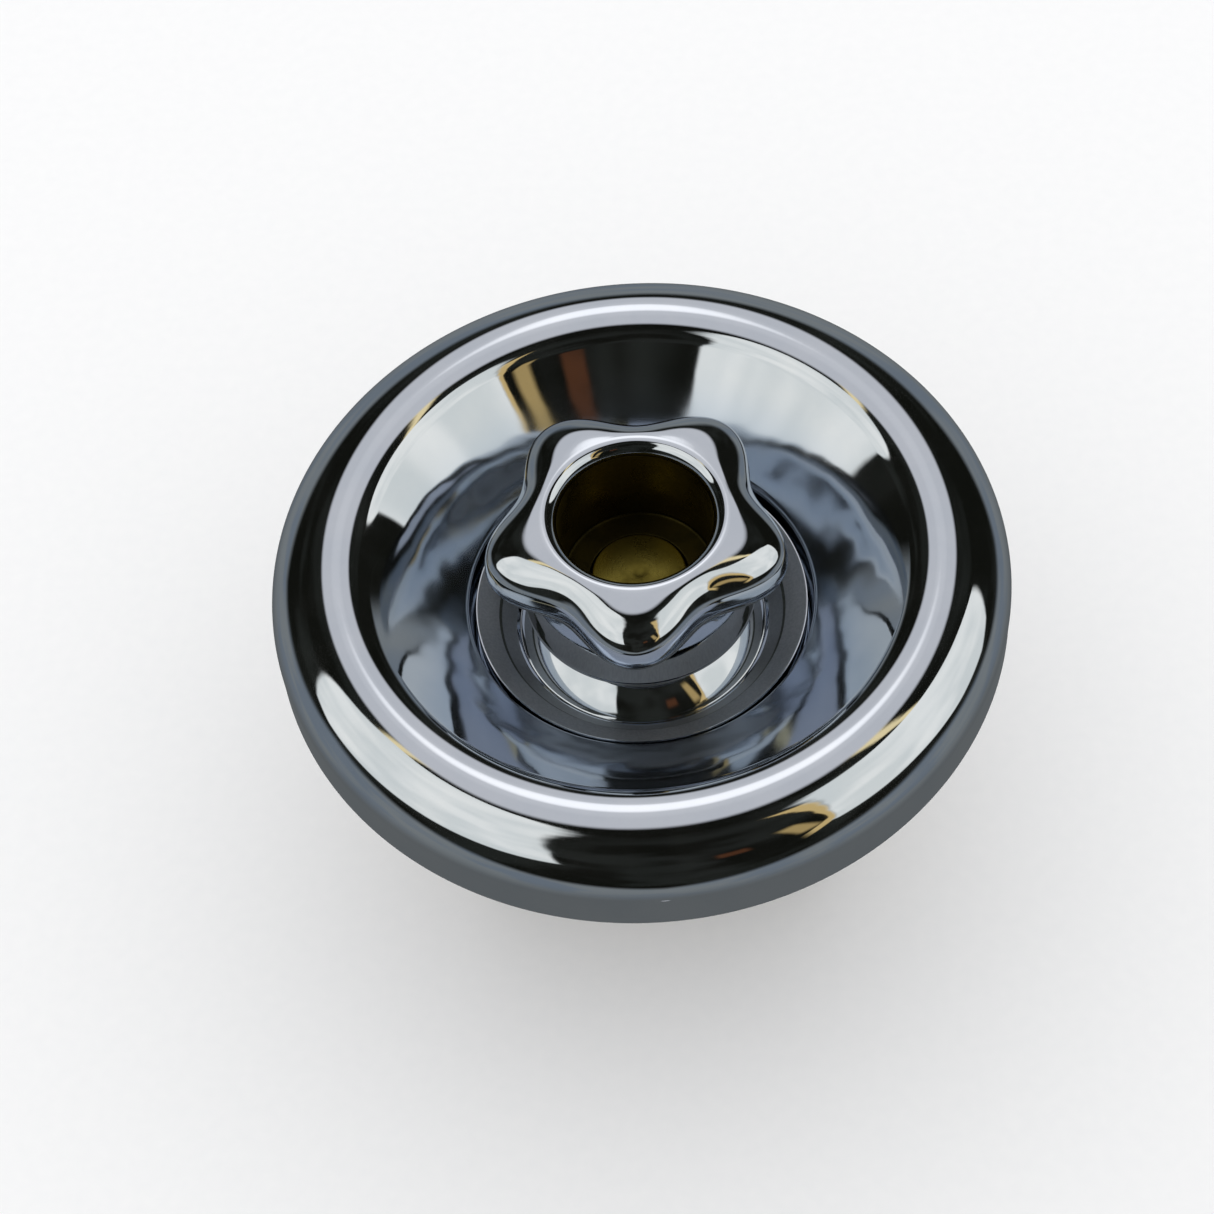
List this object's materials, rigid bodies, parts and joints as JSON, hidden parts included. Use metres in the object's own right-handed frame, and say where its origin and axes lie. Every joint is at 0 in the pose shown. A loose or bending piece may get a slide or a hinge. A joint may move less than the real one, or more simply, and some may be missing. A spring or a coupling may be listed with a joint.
{
  "type": "recessed water stop valve",
  "caption": "Recessed jumper-type water stop valve with a chromed dish flange, retaining collar and open-bored lobed handle.",
  "frame": {"origin": "centre of the flat base pad under the valve body, on the spindle axis", "axes": "+Z along the spindle, out of the wall towards the user; +X from the inlet port to the outlet port; -Y points to the handle lobe that faces the user"},
  "size_m": [0.11, 0.11, 0.0835],
  "materials": {
    "chrome": "bright polished chrome plate on brass",
    "brass": "turned brass, unplated, dulled",
    "cast_brass": "sand-cast brass, rough outside, machined ends",
    "spring_steel": "drawn stainless spring wire",
    "rubber": "moulded nitrile rubber",
    "packing": "braided white gland packing",
    "fibre": "pressed red fibre",
    "foam": "closed-cell foam"
  },
  "bodies": {
    "valve": {"dish_flange": "chrome", "flange_seal": "foam", "retaining_collar": "chrome", "carrier_sleeve": "brass", "gland_nut": "brass", "gland_follower": "brass", "gland_packing": "packing", "bonnet": "brass", "bonnet_washer": "fibre", "seat_ring": "brass", "valve_body": "cast_brass", "inlet_nut": "brass", "inlet_olive": "brass", "outlet_nut": "brass", "outlet_olive": "brass"},
    "jumper": {"jumper_valve": "brass", "jumper_washer": "rubber", "jumper_nut": "brass"},
    "spindle": {"spindle": "brass", "spindle_o_ring_lower": "rubber", "spindle_o_ring_upper": "rubber", "handle_snap_ring": "spring_steel", "spline_socket": "brass", "star_handle": "chrome"}
  },
  "joints": [
    {"name": "jumper_lift", "type": "slide", "parent": "valve", "child": "jumper", "axis": [0, 0, 1], "range_m": [0, 0.005]},
    {"name": "handle_turn", "type": "hinge", "parent": "jumper", "child": "spindle", "pos_m": [0, 0, 0.079], "axis": [0, 0, 1], "range_deg": [0, 720.01]}
  ],
  "couplings": [
    {"joint": "handle_turn", "follows": "jumper_lift", "rad_per_m": 2513.3}
  ]
}
